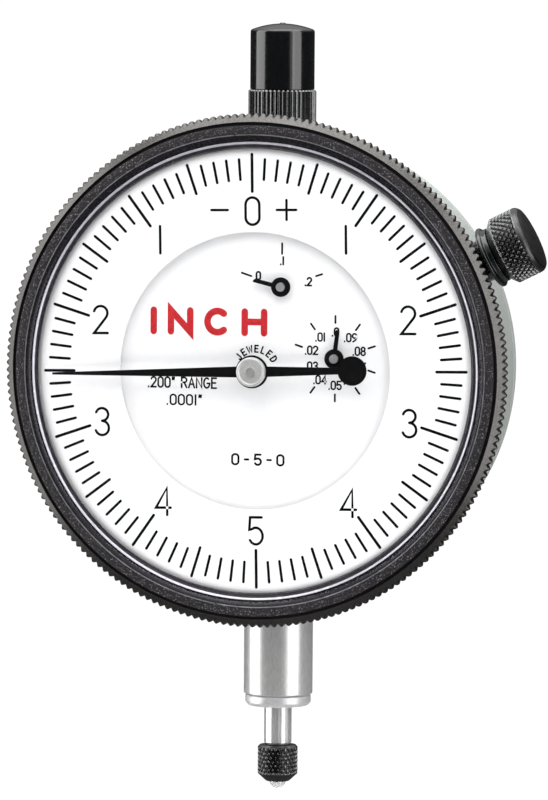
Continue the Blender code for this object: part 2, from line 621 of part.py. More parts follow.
clamp_base = dial_point(0, 0, CLAMP_Y)
place("clamp_bushing", turned_out([
    (1.3, 31.75), (2.95, 31.75), (2.95, 35.15), (4.1, 35.15), (4.3, 35.35), (4.3, 35.65), (4.0, 35.85),
    (3.85, 35.9), (3.85, 37.05), (1.3, 37.05)], 24, clamp_tilt), BLACK_METAL, clamp_base)
place("clamp_screw", turned_out([
    (0, 31.35), (1.2, 31.35), (1.2, 37.15), (3.7, 37.15), (4.75, 38.15), (4.75, 41.4), (4.65, 41.8),
    (4.25, 42.2), (2.6, 42.4), (0, 42.5)], 24, clamp_tilt), BLACK_METAL, clamp_base)
place("clamp_shoe", turned_out([(0, 29.95), (1.1, 29.95), (1.1, 31.25), (0, 31.25)], 12, clamp_tilt),
      BRASS, clamp_base)
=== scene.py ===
"""Looks for the lug-back dial indicator: knurled bezel and knobs, printed dials, hands, crystal and finishes.

Sizes are in millimetres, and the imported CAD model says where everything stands.
"""

import math

import bmesh
import bpy
from mathutils import Matrix, Vector
from mathutils.geometry import delaunay_2d_cdt


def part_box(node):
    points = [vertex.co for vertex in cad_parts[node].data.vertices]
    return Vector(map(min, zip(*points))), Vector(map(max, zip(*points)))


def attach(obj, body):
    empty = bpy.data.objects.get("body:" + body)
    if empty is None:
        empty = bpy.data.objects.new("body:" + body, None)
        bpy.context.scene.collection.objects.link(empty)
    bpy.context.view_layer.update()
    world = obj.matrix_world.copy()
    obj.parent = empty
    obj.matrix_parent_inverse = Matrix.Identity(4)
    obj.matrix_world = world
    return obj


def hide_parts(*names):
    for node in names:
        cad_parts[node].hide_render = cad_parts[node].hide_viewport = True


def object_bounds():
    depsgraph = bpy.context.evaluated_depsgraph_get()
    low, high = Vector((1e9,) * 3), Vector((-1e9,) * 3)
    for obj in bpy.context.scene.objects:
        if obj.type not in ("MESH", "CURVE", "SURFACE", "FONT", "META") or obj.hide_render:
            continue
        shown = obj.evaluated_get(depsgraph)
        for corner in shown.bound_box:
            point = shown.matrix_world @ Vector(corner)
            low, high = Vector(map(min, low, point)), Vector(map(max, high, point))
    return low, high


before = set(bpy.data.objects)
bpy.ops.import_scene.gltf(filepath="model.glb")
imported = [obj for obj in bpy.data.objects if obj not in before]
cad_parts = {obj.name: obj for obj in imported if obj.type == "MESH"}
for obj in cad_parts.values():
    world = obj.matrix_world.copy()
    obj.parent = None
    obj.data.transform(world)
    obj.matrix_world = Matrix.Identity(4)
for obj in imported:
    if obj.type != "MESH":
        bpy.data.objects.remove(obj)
cad_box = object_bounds()

MM = 0.001
TURN = 2 * math.pi


# ---------------------------------------------------------------- places, from the frame

def low(node, axis):
    """A CAD node's lowest coordinate on an axis, in millimetres."""
    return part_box(node)[0][axis] / MM


def high(node, axis):
    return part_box(node)[1][axis] / MM


def middle(node, axis):
    return (low(node, axis) + high(node, axis)) / 2


DIAL_UP = middle("dial_ring", 2)            # height of the dial's centre
DIAL_FRONT = low("dial_ring", 1)
INNER_FRONT = low("inner_dial", 1)
BEZEL_R = (high("bezel", 0) - low("bezel", 0)) / 2
COUNTER_ONE = (middle("counter_one_arbor", 0), middle("counter_one_arbor", 2) - DIAL_UP)
COUNTER_TWO = (middle("counter_two_arbor", 0), middle("counter_two_arbor", 2) - DIAL_UP)
CLAMP_Y = middle("clamp_shoe", 1)
CLAMP_TILT = math.radians(26.5)             # the clamp screw's axis above the horizontal

DIAL_TURN = 1.0                 # degrees the bezel stands turned, anticlockwise from the front
MAIN_HAND = 181.7               # each hand's direction at rest, degrees anticlockwise from the right
COUNTER_ONE_HAND = 83.0
COUNTER_TWO_HAND = 167.0


# ---------------------------------------------------------------- materials

def nodes_of(name):
    """A new material, its node tree and its Principled shader."""
    mat = bpy.data.materials.new(name)
    mat.use_nodes = True
    tree = mat.node_tree
    return mat, tree, tree.nodes["Principled BSDF"]


def coordinates(tree, stretch=(1, 1, 1)):
    """Object coordinates, scaled on each axis."""
    where = tree.nodes.new("ShaderNodeTexCoord")
    scale = tree.nodes.new("ShaderNodeMapping")
    scale.inputs["Scale"].default_value = stretch
    tree.links.new(where.outputs["Object"], scale.inputs["Vector"])
    return scale.outputs["Vector"]


def noise(tree, vector, scale, detail=3.0, roughness=0.55):
    node = tree.nodes.new("ShaderNodeTexNoise")
    node.inputs["Scale"].default_value = scale
    node.inputs["Detail"].default_value = detail
    node.inputs["Roughness"].default_value = roughness
    tree.links.new(vector, node.inputs["Vector"])
    return node.outputs["Fac"]


def ramp(tree, value, stops):
    node = tree.nodes.new("ShaderNodeValToRGB")
    node.color_ramp.elements[0].position = stops[0][0]
    node.color_ramp.elements[0].color = (*stops[0][1], 1.0)
    node.color_ramp.elements[1].position = stops[-1][0]
    node.color_ramp.elements[1].color = (*stops[-1][1], 1.0)
    for position, colour in stops[1:-1]:
        node.color_ramp.elements.new(position).color = (*colour, 1.0)
    tree.links.new(value, node.inputs["Fac"])
    return node.outputs["Color"]


def spread(tree, value, low_to, high_to, low_from=0.3, high_from=0.7):
    """A value carried from one range to another, and held at the ends."""
    node = tree.nodes.new("ShaderNodeMapRange")
    node.inputs["From Min"].default_value = low_from
    node.inputs["From Max"].default_value = high_from
    node.inputs["To Min"].default_value = low_to
    node.inputs["To Max"].default_value = high_to
    tree.links.new(value, node.inputs["Value"])
    return node.outputs["Result"]


def bump(tree, shader, height, strength, depth):
    node = tree.nodes.new("ShaderNodeBump")
    node.inputs["Strength"].default_value = strength
    node.inputs["Distance"].default_value = depth * MM
    tree.links.new(height, node.inputs["Height"])
    tree.links.new(node.outputs["Normal"], shader.inputs["Normal"])


BROAD_SCALE = 70.0              # size of the slow variation in every finish, as a noise scale
FINE_SHARE = 0.75               # how much of a finish's colour and roughness follows its fine grain


def finish_of(name, dark, light, rough, metallic, grain=900.0, stretch=(1, 1, 1), relief=0.006,
              strength=0.3, coat=0.0, specular=0.5):
    """A finish whose colour, roughness and relief follow fine grain in the surface."""
    mat, tree, shader = nodes_of(name)
    shader.inputs["Metallic"].default_value = metallic
    shader.inputs["Coat Weight"].default_value = coat
    shader.inputs["Coat Roughness"].default_value = 0.08
    shader.inputs["Specular IOR Level"].default_value = specular
    vector = coordinates(tree, stretch)
    fine = noise(tree, vector, grain, 4.0)
    broad = noise(tree, coordinates(tree), BROAD_SCALE, 2.0)
    both = tree.nodes.new("ShaderNodeMath")
    both.operation = "MULTIPLY_ADD"
    both.inputs[1].default_value = FINE_SHARE
    tree.links.new(fine, both.inputs[0])
    rest = tree.nodes.new("ShaderNodeMath")
    rest.operation = "MULTIPLY"
    rest.inputs[1].default_value = 1.0 - FINE_SHARE
    tree.links.new(broad, rest.inputs[0])
    tree.links.new(rest.outputs[0], both.inputs[2])
    tree.links.new(ramp(tree, both.outputs[0], [(0.33, dark), (0.67, light)]), shader.inputs["Base Color"])
    tree.links.new(spread(tree, both.outputs[0], *rough), shader.inputs["Roughness"])
    bump(tree, shader, fine, strength, relief)
    return mat


def speckled_black(name, base, fleck, rough, amount):
    """Black anodised metal, with pale flecks where its grain rises above an amount."""
    mat, tree, shader = nodes_of(name)
    shader.inputs["Metallic"].default_value = 0.35
    vector = coordinates(tree)
    grain = noise(tree, vector, 5200.0, 2.0, 0.6)
    colour = ramp(tree, grain, [(0.0, base), (amount - 0.06, base), (amount, fleck)])
    tree.links.new(colour, shader.inputs["Base Color"])
    tree.links.new(spread(tree, noise(tree, vector, 1500.0), *rough), shader.inputs["Roughness"])
    bump(tree, shader, grain, 0.35, 0.02)
    return mat


BLACK = speckled_black("black_anodised", (0.016, 0.0145, 0.017), (0.22, 0.205, 0.215), (0.46, 0.60), 0.65)
KNURL = finish_of("black_knurl", (0.085, 0.086, 0.088), (0.18, 0.18, 0.18), (0.18, 0.28), 1.0,
                  grain=5000.0, relief=0.008, strength=0.2)
SLOPE = finish_of("black_slope", (0.060, 0.058, 0.056), (0.12, 0.116, 0.112), (0.26, 0.36), 1.0,
                  grain=4000.0, relief=0.012)
LIP = finish_of("black_lip", (0.006, 0.006, 0.009), (0.012, 0.011, 0.015), (0.22, 0.32), 0.2, grain=3000.0)
# painted shade: the bezel's groove is coloured far darker than the black anodising round it
BEZEL_GROOVE_SHADE = finish_of("groove_painted_shade", (0.003, 0.003, 0.003), (0.007, 0.006, 0.007), (0.5, 0.65), 0.1)
# painted highlight: a pale band on the bezel's inner lip edge, standing in for the light that edge catches
BEZEL_EDGE_HIGHLIGHT = finish_of("bezel_edge_painted_highlight", (0.30, 0.29, 0.31), (0.58, 0.56, 0.60), (0.25, 0.4), 0.8)
BRIGHT_CUT = finish_of("black_cut", (0.045, 0.045, 0.047), (0.09, 0.09, 0.092), (0.26, 0.38), 1.0)
GLOSS = finish_of("gloss_black", (0.0015, 0.0018, 0.002), (0.003, 0.0034, 0.0038), (0.10, 0.17), 0.0,
                  grain=1800.0, relief=0.004, strength=0.12, specular=0.75)
STEEL = finish_of("ground_steel", (0.58, 0.58, 0.575), (0.76, 0.76, 0.755), (0.27, 0.34), 0.72,
                  grain=5200.0, stretch=(1, 1, 0.2), relief=0.0015, strength=0.12)
SATIN = finish_of("satin_alloy", (0.60, 0.605, 0.61), (0.72, 0.725, 0.73), (0.36, 0.48), 0.65,
                  grain=2600.0, relief=0.006)
CASE = finish_of("case_satin", (0.60, 0.635, 0.61), (0.70, 0.74, 0.705), (0.36, 0.48), 0.72,
                 grain=2200.0, relief=0.008)
POLISHED = finish_of("polished_steel", (0.78, 0.78, 0.77), (0.86, 0.86, 0.85), (0.24, 0.30), 0.6,
                     grain=1500.0, relief=0.001, strength=0.02)
HUB = finish_of("hub_satin", (0.56, 0.56, 0.55), (0.70, 0.70, 0.69), (0.34, 0.44), 0.55,
                grain=5200.0, relief=0.001, strength=0.1)
BRASS = finish_of("machined_brass", (0.55, 0.38, 0.13), (0.74, 0.55, 0.24), (0.25, 0.4), 1.0,
                  grain=1200.0, stretch=(1, 0.2, 1))
WHITE = finish_of("dial_white", (0.785, 0.787, 0.79), (0.815, 0.817, 0.82), (0.5, 0.62), 0.0,
                  grain=3000.0, relief=0.003, strength=0.15)
INK = finish_of("dial_ink", (0.001, 0.001, 0.0012), (0.004, 0.004, 0.0042), (0.5, 0.7), 0.0,
                grain=4200.0, relief=0.004, specular=0.1)
RED_INK = finish_of("red_ink", (0.34, 0.008, 0.012), (0.56, 0.030, 0.036), (0.45, 0.6), 0.0,
                    grain=4200.0, relief=0.006, specular=0.2)
HAND = finish_of("hand_black", (0.001, 0.001, 0.0012), (0.003, 0.003, 0.0034), (0.4, 0.55), 0.0,
                 grain=2400.0, relief=0.003, specular=0.2)
RUBY = finish_of("jewel_red", (0.38, 0.01, 0.03), (0.60, 0.03, 0.07), (0.06, 0.12), 0.0, coat=0.5)


EDGE_ON_POWER = 5.0             # how sharply clear plastic turns from see-through to mirror


def clear(name, tint, cover, metallic):
    """Clear plastic: what is behind shows through, and the surface mirrors more where it turns away."""
    mat = bpy.data.materials.new(name)
    mat.use_nodes = True
    tree = mat.node_tree
    tree.nodes.clear()
    out = tree.nodes.new("ShaderNodeOutputMaterial")
    through = tree.nodes.new("ShaderNodeBsdfTransparent")
    body = tree.nodes.new("ShaderNodeBsdfPrincipled")
    mixed = tree.nodes.new("ShaderNodeMixShader")
    turned = tree.nodes.new("ShaderNodeLayerWeight")
    steeper = tree.nodes.new("ShaderNodeMath")
    most = tree.nodes.new("ShaderNodeMath")
    vector = coordinates(tree)
    turned.inputs["Blend"].default_value = 0.5
    steeper.operation = "POWER"
    steeper.inputs[1].default_value = EDGE_ON_POWER
    most.operation = "MAXIMUM"
    body.inputs["Metallic"].default_value = metallic
    through.inputs["Color"].default_value = (0.998, 0.998, 1.0, 1.0)
    tree.links.new(turned.outputs["Facing"], steeper.inputs[0])
    tree.links.new(steeper.outputs[0], most.inputs[0])
    tree.links.new(spread(tree, noise(tree, vector, 260.0), cover[0], cover[1]), most.inputs[1])
    tree.links.new(ramp(tree, noise(tree, vector, 600.0), [(0.3, tint), (0.7, [0.9 * c for c in tint])]),
                   body.inputs["Base Color"])
    tree.links.new(spread(tree, noise(tree, vector, 900.0), 0.03, 0.07), body.inputs["Roughness"])
    tree.links.new(most.outputs[0], mixed.inputs[0])
    tree.links.new(through.outputs[0], mixed.inputs[1])
    tree.links.new(body.outputs[0], mixed.inputs[2])
    tree.links.new(mixed.outputs[0], out.inputs["Surface"])
    return mat


CRYSTAL = clear("crystal_clear", (0.16, 0.145, 0.17), (0.0, 0.01), 1.0)
# painted shade: a mostly opaque dark ring at the crystal's foot, standing in for the shadow line where the
# clear crystal meets the dial
CRYSTAL_FOOT_SHADE = clear("crystal_foot_painted_shade", (0.05, 0.042, 0.05), (0.80, 0.92), 0.3)
# painted reflection: a dark grey band on the crystal's rim, standing in for the black bezel seen in the clear
# plastic
CRYSTAL_RIM_DARK_REFLECTION = finish_of("crystal_rim_painted_reflection", (0.14, 0.13, 0.147), (0.20, 0.185, 0.21), (0.14, 0.24), 0.85,
                        relief=0.002, strength=0.15)
# painted highlight: a pale lavender band on the crystal's rounded shoulder, standing in for the light the
# clear plastic reflects there
CRYSTAL_SHOULDER_HIGHLIGHT = finish_of("crystal_shoulder_painted_highlight", (0.64, 0.63, 0.70), (0.74, 0.73, 0.80), (0.2, 0.3), 0.4,
                         relief=0.002, strength=0.15)


# ---------------------------------------------------------------- mesh building

# an axis turns (radius, angle, distance along it) into a place

def dial_axis(r, a, h):
    return Vector((r * math.cos(a), h, DIAL_UP + r * math.sin(a)))


def up_axis(r, a, h):
    return Vector((r * math.cos(a), r * math.sin(a), h))


def clamp_axis(r, a, h):
    out = Vector((math.cos(CLAMP_TILT), 0.0, math.sin(CLAMP_TILT)))
    side = Vector((-math.sin(CLAMP_TILT), 0.0, math.cos(CLAMP_TILT)))
    back = Vector((0.0, 1.0, 0.0))
    return Vector((0.0, CLAMP_Y, DIAL_UP)) + h * out + r * (math.cos(a) * side + math.sin(a) * back)


def keep(name, mesh, looks, body, stands_for=(), crease=30.0):
    """Make a piece of a mesh in millimetres, on a body, in the place of the CAD nodes it stands for."""
    bmesh.ops.scale(mesh, vec=(MM, MM, MM), verts=mesh.verts)
    bmesh.ops.recalc_face_normals(mesh, faces=mesh.faces)
    data = bpy.data.meshes.new(name)
    mesh.to_mesh(data)
    mesh.free()
    for look in looks:
        data.materials.append(look)
    data.polygons.foreach_set("use_smooth", [True] * len(data.polygons))
    data.set_sharp_from_angle(angle=math.radians(crease))
    piece = bpy.data.objects.new(name, data)
    bpy.context.scene.collection.objects.link(piece)
    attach(piece, body)
    if stands_for:
        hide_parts(*stands_for)
    return piece


def soften(profile, amount):
    """Round each corner of a closed profile a little, except on the axis."""
    rounded = []
    count = len(profile)
    for i, here in enumerate(profile):
        before, after = profile[i - 1], profile[(i + 1) % count]
        point = Vector(here[:2])
        to_before = Vector(before[:2]) - point
        to_after = Vector(after[:2]) - point
        if here[0] < 1e-6 or to_before.length < 1e-6 or to_after.length < 1e-6:
            rounded.append(here)
            continue
        reach = min(amount, 0.4 * to_before.length, 0.4 * to_after.length)
        first = point + to_before.normalized() * reach
        last = point + to_after.normalized() * reach
        mid = (first + last) / 4 + point / 2
        for p in (first, mid, last):
            rounded.append((p.x, p.y) + tuple(here[2:]))
    return rounded


def lathe(name, profile, sides, axis, looks, body, stands_for=(), relief=None, crease=30.0):
    """Turn a closed profile of (radius, height[, slot of the band that starts here]) about an axis."""
    mesh = bmesh.new()
    rings = []
    for point in profile:
        r, h = point[0], point[1]
        if r < 1e-6:
            rings.append([mesh.verts.new(axis(0.0, 0.0, h))])
            continue
        ring = []
        for i in range(sides):
            a = TURN * i / sides
            to_r, to_h = relief(r, a, h) if relief else (r, h)
            ring.append(mesh.verts.new(axis(to_r, a, to_h)))
        rings.append(ring)
    count = len(rings)
    for k in range(count):
        one, two = rings[k], rings[(k + 1) % count]
        slot = profile[k][2] if len(profile[k]) > 2 else 0
        if len(one) == 1 and len(two) == 1:
            continue
        for i in range(sides):
            j = (i + 1) % sides
            if len(one) == 1:
                face = mesh.faces.new((one[0], two[i], two[j]))
            elif len(two) == 1:
                face = mesh.faces.new((one[i], one[j], two[0]))
            else:
                face = mesh.faces.new((one[i], one[j], two[j], two[i]))
            face.material_index = slot
    return keep(name, mesh, looks, body, stands_for, crease)


def ring_points(radius, sides, centre=(0.0, 0.0)):
    return [polar(radius, TURN * i / sides, centre) for i in range(sides)]


def bow(cx, cy, rx, ry, start, end, steps=10):
    """Points along an ellipse about (cx, cy), from one angle to another in degrees."""
    angles = [math.radians(start + (end - start) * i / steps) for i in range(steps + 1)]
    return [(cx + rx * math.cos(a), cy + ry * math.sin(a)) for a in angles]


def arc_points(radius, start, end, steps, centre=(0.0, 0.0)):
    return bow(*centre, radius, radius, start, end, steps)


def polar(radius, a, centre=(0.0, 0.0)):
    return centre[0] + radius * math.cos(a), centre[1] + radius * math.sin(a)


def inside(point, loop):
    """Whether a point lies in a closed loop, by counting the edges to its right."""
    found = False
    x, z = point
    for (x0, z0), (x1, z1) in zip(loop, loop[1:] + loop[:1]):
        if (z0 > z) != (z1 > z) and x < (x1 - x0) * (z - z0) / (z1 - z0) + x0:
            found = not found
    return found


def add_plate(mesh, outline, holes, depths, place):
    """Add a flat body to a mesh: an outline with holes, between two depths and capped at both."""
    loops = [outline] + holes
    flat = [Vector(p) for loop in loops for p in loop]
    edges = []
    start = 0
    for loop in loops:
        edges += [(start + i, start + (i + 1) % len(loop)) for i in range(len(loop))]
        start += len(loop)
    points, _, faces, _, _, _ = delaunay_2d_cdt(flat, edges, [], 1, 1e-6)
    near = [mesh.verts.new(place(p.x, p.y, depths[0])) for p in points]
    far = [mesh.verts.new(place(p.x, p.y, depths[1])) for p in points]
    sides = {}
    for face in faces:
        centre = sum((points[i] for i in face), Vector((0.0, 0.0))) / len(face)
        if not inside(centre, outline) or any(inside(centre, hole) for hole in holes):
            continue
        mesh.faces.new([near[i] for i in face])
        mesh.faces.new([far[i] for i in reversed(face)])
        for a, b in zip(face, face[1:] + face[:1]):
            key = (min(a, b), max(a, b))
            sides[key] = None if key in sides else (a, b)
    for pair in sides.values():
        if pair:
            a, b = pair
            mesh.faces.new((near[b], near[a], far[a], far[b]))
    for vert in [v for v in near + far if not v.link_faces]:
        mesh.verts.remove(vert)


def on_dial(x, z, y):
    return Vector((x, y, DIAL_UP + z))


# ---------------------------------------------------------------- lettering: strokes with round ends

W = 0.52                        # width of a figure of height 1
oval = bow(W / 2, 1 - W / 2, W / 2, W / 2, 0, 180) + bow(W / 2, W / 2, W / 2, W / 2, 180, 360)
GLYPHS = {                      # each figure's width and its strokes, for a height of 1
    "0": (W, [oval + oval[:1]]),
    "1": (0.12, [[(0.06, 0.0), (0.06, 1.0)]]),
    "2": (W, [bow(W / 2, 1 - W / 2, W / 2, W / 2, 165, -38) + [(0.0, 0.0), (W, 0.0)]]),
    "3": (W, [bow(W / 2, 0.765, W * 0.46, 0.235, 160, -90, 12),
              bow(W / 2, 0.265, W / 2, 0.265, 90, -160, 12)]),
    "4": (W * 1.08, [[(W * 0.82, 0.0), (W * 0.82, 1.0), (0.0, 0.27), (W * 1.08, 0.27)]]),
    "5": (W, [[(W * 0.94, 1.0), (W * 0.1, 1.0), (W * 0.03, 0.54)]
              + bow(W / 2, 0.31, W / 2, 0.31, 125, -150, 12)]),
    "6": (W, [[(W * 0.85, 1.0)] + bow(W * 0.75, 0.3, W * 0.75, 0.62, 115, 180, 5)
              + bow(W / 2, 0.28, W / 2, 0.28, 180, 540, 18)]),
    "7": (W, [[(0.0, 1.0), (W, 1.0), (W * 0.3, 0.0)]]),
    "8": (W, [bow(W / 2, 0.76, W * 0.42, 0.24, -90, 270, 18), bow(W / 2, 0.26, W / 2, 0.26, 90, 450, 18)]),
    "9": (W, [[(W * 0.15, 0.0)] + bow(W * 0.25, 0.7, W * 0.75, 0.62, -65, 0, 5)
              + bow(W / 2, 0.72, W / 2, 0.28, 0, 360, 18)]),
    ".": (0.10, [[(0.05, 0.0), (0.05, 0.04)]]),
    "\"": (0.26, [[(0.06, 1.0), (0.03, 0.78)], [(0.22, 1.0), (0.19, 0.78)]]),
    "-": (0.34, [[(0.02, 0.5), (0.32, 0.5)]]),
    " ": (0.30, []),
    "A": (0.60, [[(0.0, 0.0), (0.30, 1.0), (0.60, 0.0)], [(0.11, 0.35), (0.49, 0.35)]]),
    "C": (0.58, [bow(0.29, 0.5, 0.29, 0.5, 50, 310, 16)]),
    "D": (0.56, [[(0.0, 0.0), (0.0, 1.0), (0.22, 1.0)]
                 + bow(0.22, 0.5, 0.34, 0.5, 90, -90, 12) + [(0.0, 0.0)]]),
    "E": (0.48, [[(0.48, 0.0), (0.0, 0.0), (0.0, 1.0), (0.48, 1.0)], [(0.0, 0.52), (0.40, 0.52)]]),
    "G": (0.62, [bow(0.31, 0.5, 0.31, 0.5, 55, 340, 18) + [(0.62, 0.46), (0.36, 0.46)]]),
    "H": (0.56, [[(0.0, 0.0), (0.0, 1.0)], [(0.56, 0.0), (0.56, 1.0)], [(0.0, 0.52), (0.56, 0.52)]]),
    "I": (0.0, [[(0.0, 0.0), (0.0, 1.0)]]),
    "J": (0.40, [[(0.40, 1.0), (0.40, 0.24)] + bow(0.20, 0.24, 0.20, 0.24, 0, -170, 10)]),
    "L": (0.44, [[(0.0, 1.0), (0.0, 0.0), (0.44, 0.0)]]),
    "N": (0.56, [[(0.0, 0.0), (0.0, 1.0), (0.56, 0.0), (0.56, 1.0)]]),
    "R": (0.54, [[(0.0, 0.0), (0.0, 1.0), (0.30, 1.0)]
                 + bow(0.30, 0.76, 0.24, 0.24, 90, -90, 8) + [(0.0, 0.52)],
                 [(0.28, 0.52), (0.54, 0.0)]]),
    "W": (0.80, [[(0.0, 1.0), (0.20, 0.0), (0.40, 0.85), (0.60, 0.0), (0.80, 1.0)]]),
}


def stroke_outline(points, width):
    """The outline of a line of some width with round ends, and the hole in it if it is closed."""
    path = [Vector(points[0])]
    for p in points[1:]:
        if (Vector(p) - path[-1]).length > 1e-4:
            path.append(Vector(p))
    closed = len(path) > 3 and (path[0] - path[-1]).length < 1e-4
    if closed:
        path = path[:-1]
    half = width / 2
    count = len(path)
    left, right = [], []
    for i, here in enumerate(path):
        before = path[i - 1] if i or closed else here
        after = path[(i + 1) % count] if i < count - 1 or closed else here
        into = (here - before).normalized() if before != here else (after - here).normalized()
        out = (after - here).normalized() if after != here else into
        side_in = Vector((-into.y, into.x))
        side_out = Vector((-out.y, out.x))
        mitre = side_in + side_out
        mitre = mitre / max(mitre.length_squared, 0.5) * 2
        left.append(here + mitre * half)
        right.append(here - mitre * half)
    if closed:
        loops = [[tuple(p) for p in left], [tuple(p) for p in right]]
        loops.sort(key=lambda loop: -max(p[0] for p in loop) + min(p[0] for p in loop))
        return loops[0], [loops[1]]
    end = math.degrees(math.atan2(*(path[-1] - path[-2]).yx))
    begin = math.degrees(math.atan2(*(path[1] - path[0]).yx))
    outline = [tuple(p) for p in right]
    outline += arc_points(half, end - 90, end + 90, 6, tuple(path[-1]))[1:-1]
    outline += [tuple(p) for p in reversed(left)]
    outline += arc_points(half, begin + 90, begin + 270, 6, tuple(path[0]))[1:-1]
    return outline, []


def turned_by(points, degrees, about=(0.0, 0.0)):
    c, s = math.cos(math.radians(degrees)), math.sin(math.radians(degrees))
    return [(about[0] + (x - about[0]) * c - (z - about[1]) * s,
             about[1] + (x - about[0]) * s + (z - about[1]) * c) for x, z in points]


def words(text, centre, height, width=None, lean=0.0, gap=0.2):
    """Stroke paths for a line of text, centred on a point, optionally squeezed to a width."""
    advance = sum(GLYPHS[c][0] for c in text) + gap * (len(text) - 1)
    squeeze = width / (advance * height) if width else 1.0
    paths = []
    x = -advance / 2
    for c in text:
        for path in GLYPHS[c][1]:
            paths.append([(centre[0] + (x + px) * height * squeeze, centre[1] + (py - 0.5) * height)
                          for px, py in path])
        x += GLYPHS[c][0] + gap
    return [turned_by(path, lean, centre) for path in paths] if lean else paths


INK_THICK = 0.012
INK_GAP = 0.001                 # gap between the dial's face and the back of the ink
INK_STEP = 0.0012               # strokes that follow each other, and so may cross, differ by this
INK_STEPS = 5                   # number of different thicknesses, used in turn


def printed(name, strokes, face, look, body):
    """Ink on a dial: every (path, width) is a thin raised line on the plane at this depth."""
    mesh = bmesh.new()
    for i, (path, width) in enumerate(strokes):
        outline, holes = stroke_outline(path, width)
        top = face - INK_THICK - INK_STEP * (i % INK_STEPS)
        add_plate(mesh, outline, holes, (top, face - INK_GAP), on_dial)
    piece = keep(name, mesh, [look], body)
    return piece


def mark(angle, inner, outer, centre=(0.0, 0.0)):
    """A radial line of a scale."""
    a = math.radians(angle)
    return [polar(inner, a, centre), polar(outer, a, centre)]


# ---------------------------------------------------------------- knurls

def saw(x):
    """0 on whole numbers, 1 half way between them."""
    return 1.0 - abs(2.0 * (x - math.floor(x)) - 1.0)


BEZEL_TEETH = 214
TOOTH_DEPTH = 0.40
TOOTH_START, TOOTH_FULL = 34.25, 0.35       # radius where the teeth begin, and how soon they are full
CHAMFER_IN, CHAMFER_DEPTH = 33.86, 0.86     # inner radius and depth of the sloping front of the knurl


def bezel_teeth(r, a, h):
    """V teeth round the bezel's rim; on the sloping front they cut down along the slope."""
    reach = min(1.0, max(0.0, (r - TOOTH_START) / TOOTH_FULL))
    sunk = TOOTH_DEPTH * reach * (1.0 - min(1.0, 1.2 * saw(a / TURN * BEZEL_TEETH)))
    if h < DIAL_FRONT - 0.001 and r > CHAMFER_IN:
        return r - sunk, h - sunk * CHAMFER_DEPTH / (BEZEL_R - CHAMFER_IN)
    return r - sunk, h


GROOVE_SHARE = 0.62             # how much of a diamond's half width is groove
DIAMOND_FADE = 0.3              # length over which the grooves run out at each end


def diamonds(count, pitch, depth, start, end):
    """Crossed helical grooves between two heights, as a change of radius."""
    def relief(r, a, h):
        turn_part = a / TURN * count
        along = (h - start) / pitch
        peak = min(saw(turn_part + along), saw(turn_part - along))
        fade = min(1.0, max(0.0, min(h - start, end - h) / DIAMOND_FADE))
        return r - depth * fade * (1.0 - min(1.0, peak / GROOVE_SHARE)), h
    return relief


def rows(start, end, count, radius):
    """Profile points close enough together to carry a knurl."""
    return [(radius, start + (end - start) * i / count, 0) for i in range(count + 1)]


# ---------------------------------------------------------------- case and back

CASE_R = (high("back_cover", 0) - low("back_cover", 0)) / 2
CASE_FRONT, CASE_BACK = low("case", 1), high("case", 1)
COVER_FRONT, LUG_END = low("back_cover", 1), high("back_cover", 1)
COVER_BACK = 8.0
COVER_STEPS = (7.45, 7.65)                  # depths where the cover's edge and its counterbores step
LUG_HOLE_Y, LUG_HOLE_R = 14.0, 3.175
LUG_HALF, LUG_ROOT = 3.175, 8.5             # half of the lug's thickness, and of its width at the cover
SCREW_CIRCLE, SCREW_HEAD_R, COUNTERBORE_R = 29.6, 1.6, 1.75
SLOT_DEPTH, SLOT_HALF_ANGLE = 0.35, 10.0


def add_block(mesh, x_half, fronts, ups, edge):
    """A block with softened edges, between two depths and two heights above the dial's centre."""
    made = bmesh.ops.create_cube(mesh, size=1.0)
    size = Vector((2 * x_half, fronts[1] - fronts[0], ups[1] - ups[0]))
    centre = Vector((0.0, (fronts[0] + fronts[1]) / 2, DIAL_UP + (ups[0] + ups[1]) / 2))
    for vert in made["verts"]:
        vert.co = Vector([c * s for c, s in zip(vert.co, size)]) + centre
    edges = list({e for vert in made["verts"] for e in vert.link_edges})
    bmesh.ops.bevel(mesh, geom=edges, offset=edge, segments=3, profile=0.5, affect="EDGES")


lathe("case_shell", soften([
    (30.05, CASE_FRONT), (CASE_R, CASE_FRONT), (CASE_R, CASE_BACK), (29.0, CASE_BACK),
    (29.0, CASE_BACK - 1.5), (30.05, CASE_BACK - 1.5)], 0.3), 360, dial_axis, [CASE], "body", ("case",))
mesh = bmesh.new()
add_block(mesh, 7.2, (-6.2, CASE_BACK), (low("case", 2) - DIAL_UP, -28.0), 0.5)
add_block(mesh, 6.2, (-5.6, CASE_BACK), (28.0, high("case", 2) - DIAL_UP), 0.5)
keep("case_pads", mesh, [CASE], "body")


def lug_outline(inset):
    """The lug from the side: straight flanks from its root to a round end, as (y, z)."""
    end = LUG_END - LUG_HOLE_Y - inset
    root = LUG_ROOT - inset
    slant = math.degrees(math.asin((root - end) / math.hypot(LUG_HOLE_Y - COVER_BACK, root)))
    start = (COVER_BACK - 0.2, root)
    return [start] + arc_points(end, 90 - slant, slant - 90, 40, (LUG_HOLE_Y, 0.0)) + [(start[0], -root)]


def on_lug(y, z, x):
    return Vector((x, y, DIAL_UP + z))


